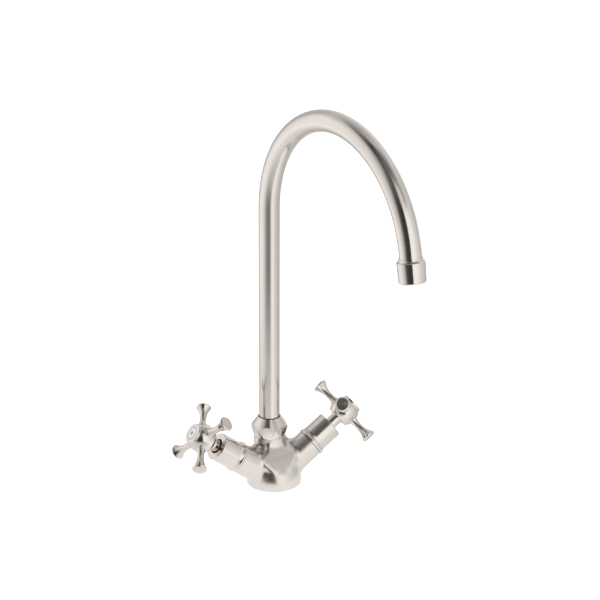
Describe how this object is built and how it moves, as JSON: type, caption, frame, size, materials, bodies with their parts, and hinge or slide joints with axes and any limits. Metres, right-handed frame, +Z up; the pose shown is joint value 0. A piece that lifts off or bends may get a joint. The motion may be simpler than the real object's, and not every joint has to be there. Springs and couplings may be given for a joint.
{
  "type": "monobloc kitchen mixer tap",
  "caption": "Two-handle monobloc kitchen mixer with a Y-shaped cast body, raised cross handles on angled valve arms and a tall swivelling swan-neck spout.",
  "frame": {"origin": "centre of the round base on the worktop", "axes": "+Z up, front (nozzle side) towards -Y, hot arm towards -X and cold arm towards +X"},
  "size_m": [0.1931, 0.2465, 0.3923],
  "materials": {
    "satin_nickel": "satin brushed nickel plate over brass",
    "polished_nickel": "polished nickel plate over brass",
    "white_enamel": "glossy white vitreous button",
    "bare_brass": "turned, unplated",
    "ceramic": "lapped alumina",
    "black_rubber": "moulded",
    "bearing_plastic": "acetal",
    "aerator_plastic": "moulded acetal",
    "steel": "stainless"
  },
  "bodies": {
    "mixer_body": {"body_casting": "satin_nickel", "base_seal": "black_rubber", "spout_nut": "satin_nickel", "spout_lower_bearing": "bearing_plastic", "spout_upper_bearing": "bearing_plastic", "hot_seat_seal": "black_rubber", "hot_fixed_disc": "ceramic", "hot_thrust_washer": "bearing_plastic", "hot_valve_body": "bare_brass", "hot_valve_o_ring": "black_rubber", "hot_bonnet": "satin_nickel", "cold_seat_seal": "black_rubber", "cold_fixed_disc": "ceramic", "cold_thrust_washer": "bearing_plastic", "cold_valve_body": "bare_brass", "cold_valve_o_ring": "black_rubber", "cold_bonnet": "satin_nickel"},
    "spout": {"spout_tube": "satin_nickel", "spout_spigot": "bare_brass", "spout_o_rings": "black_rubber", "nozzle_ring": "satin_nickel", "aerator_washer": "black_rubber", "aerator_cage": "aerator_plastic", "aerator_flow_plate": "aerator_plastic", "aerator_screen": "steel"},
    "hot_handle": {"hot_moving_disc": "ceramic", "hot_spindle": "bare_brass", "hot_spindle_o_rings": "black_rubber", "hot_circlip": "steel", "hot_handle_hub": "satin_nickel", "hot_handle_arms": "satin_nickel", "hot_handle_screw": "steel", "hot_index_ring": "polished_nickel", "hot_index_button": "white_enamel"},
    "cold_handle": {"cold_moving_disc": "ceramic", "cold_spindle": "bare_brass", "cold_spindle_o_rings": "black_rubber", "cold_circlip": "steel", "cold_handle_hub": "satin_nickel", "cold_handle_arms": "satin_nickel", "cold_handle_screw": "steel", "cold_index_ring": "polished_nickel", "cold_index_button": "white_enamel"}
  },
  "joints": [
    {"name": "spout_swivel", "type": "hinge", "parent": "mixer_body", "child": "spout", "pos_m": [0, 0.0105, 0.0542], "axis": [0, 0, 1], "continuous": true},
    {"name": "hot_valve_turn", "type": "hinge", "parent": "mixer_body", "child": "hot_handle", "pos_m": [-0.07514, 0, 0.0598], "axis": [-0.808, 0, 0.5892], "range_deg": [0, 90]},
    {"name": "cold_valve_turn", "type": "hinge", "parent": "mixer_body", "child": "cold_handle", "pos_m": [0.07514, 0, 0.0598], "axis": [0.808, 0, 0.5892], "range_deg": [-90, 0]}
  ]
}
